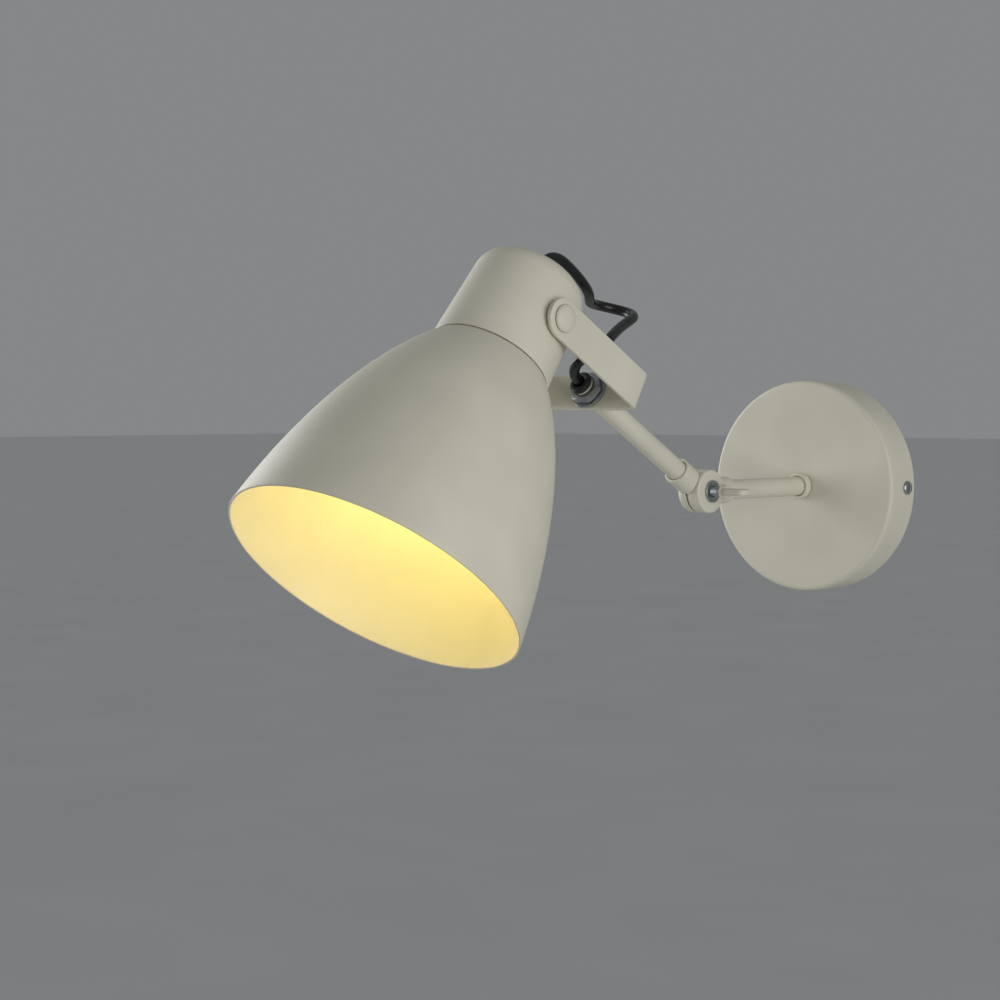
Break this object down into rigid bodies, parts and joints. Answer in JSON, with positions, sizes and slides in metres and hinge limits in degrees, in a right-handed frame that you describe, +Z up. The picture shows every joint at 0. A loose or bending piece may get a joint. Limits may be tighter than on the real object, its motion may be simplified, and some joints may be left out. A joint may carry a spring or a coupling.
{
  "type": "swing arm wall sconce",
  "caption": "Wall light with a round canopy, a stem, a clamped knuckle, an arm, a yoke and a tilting bell shade with a lampholder and a bulb inside.",
  "frame": {"origin": "middle of the wall strap's back face, where it is screwed to the wall", "axes": "+Z up along the wall, -Y straight out from the wall towards the lamp's head, +X to the side with the knuckle's wing screw"},
  "size_m": [0.1346, 0.3874, 0.1843],
  "materials": {
    "paint": "matt warm cream powder coat",
    "zinc": "zinc plated",
    "brass": "plain",
    "black_plastic": "moulded",
    "white_plastic": "moulded",
    "ceramic": "glazed ceramic",
    "cord": "black flexible sheath",
    "glass": "frosted, warm white light"
  },
  "bodies": {
    "wall_side": {"wall_strap": "zinc", "canopy_cover": "paint", "canopy_screw_right": "zinc", "canopy_screw_left": "zinc", "terminal_block": "white_plastic", "earth_screw": "brass", "stem_tube": "paint", "stem_collar": "paint", "stem_washer": "zinc", "stem_nut": "zinc", "stem_cord": "cord", "knuckle_stem_half": "paint", "knuckle_friction_ring": "black_plastic"},
    "wing_screw": {"knuckle_screw": "zinc", "knuckle_washer": "zinc", "knuckle_wing": "paint"},
    "arm": {"knuckle_arm_half": "paint", "arm_tube": "paint", "arm_cord": "cord"},
    "yoke": {"yoke_bracket": "paint", "yoke_washer": "zinc", "yoke_nut": "zinc", "cord_bushing": "black_plastic"},
    "head": {"pivot_screw_right": "paint", "pivot_spacer_right": "black_plastic", "pivot_nut_right": "zinc", "pivot_screw_left": "paint", "pivot_spacer_left": "black_plastic", "pivot_nut_left": "zinc", "lampholder_cap": "paint", "cord_gland": "black_plastic", "cap_nipple": "zinc", "nipple_nut": "zinc", "cap_cord": "cord", "lampholder_dome": "white_plastic", "lampholder_core": "ceramic", "lampholder_skirt": "white_plastic", "lampholder_ring": "white_plastic", "centre_contact": "brass", "shade": "paint", "bulb_base": "zinc", "bulb_globe": "glass", "cord_loop": "cord"}
  },
  "joints": [
    {"name": "knuckle_hinge", "type": "hinge", "parent": "wall_side", "child": "arm", "pos_m": [0, -0.11, 0], "axis": [1, 0, 0], "range_deg": [-60, 90]},
    {"name": "wing_screw_turn", "type": "hinge", "parent": "arm", "child": "wing_screw", "pos_m": [0, -0.11, 0], "axis": [1, 0, 0], "range_deg": [-180, 180]},
    {"name": "yoke_swivel", "type": "hinge", "parent": "arm", "child": "yoke", "pos_m": [0, -0.19227, 0.0475], "axis": [0, -0.866, 0.5], "range_deg": [-90, 90]},
    {"name": "head_tilt", "type": "hinge", "parent": "yoke", "child": "head", "pos_m": [0, -0.24813, 0.07975], "axis": [1, 0, 0], "range_deg": [-80, 38], "deforming": ["cord_loop"]}
  ]
}
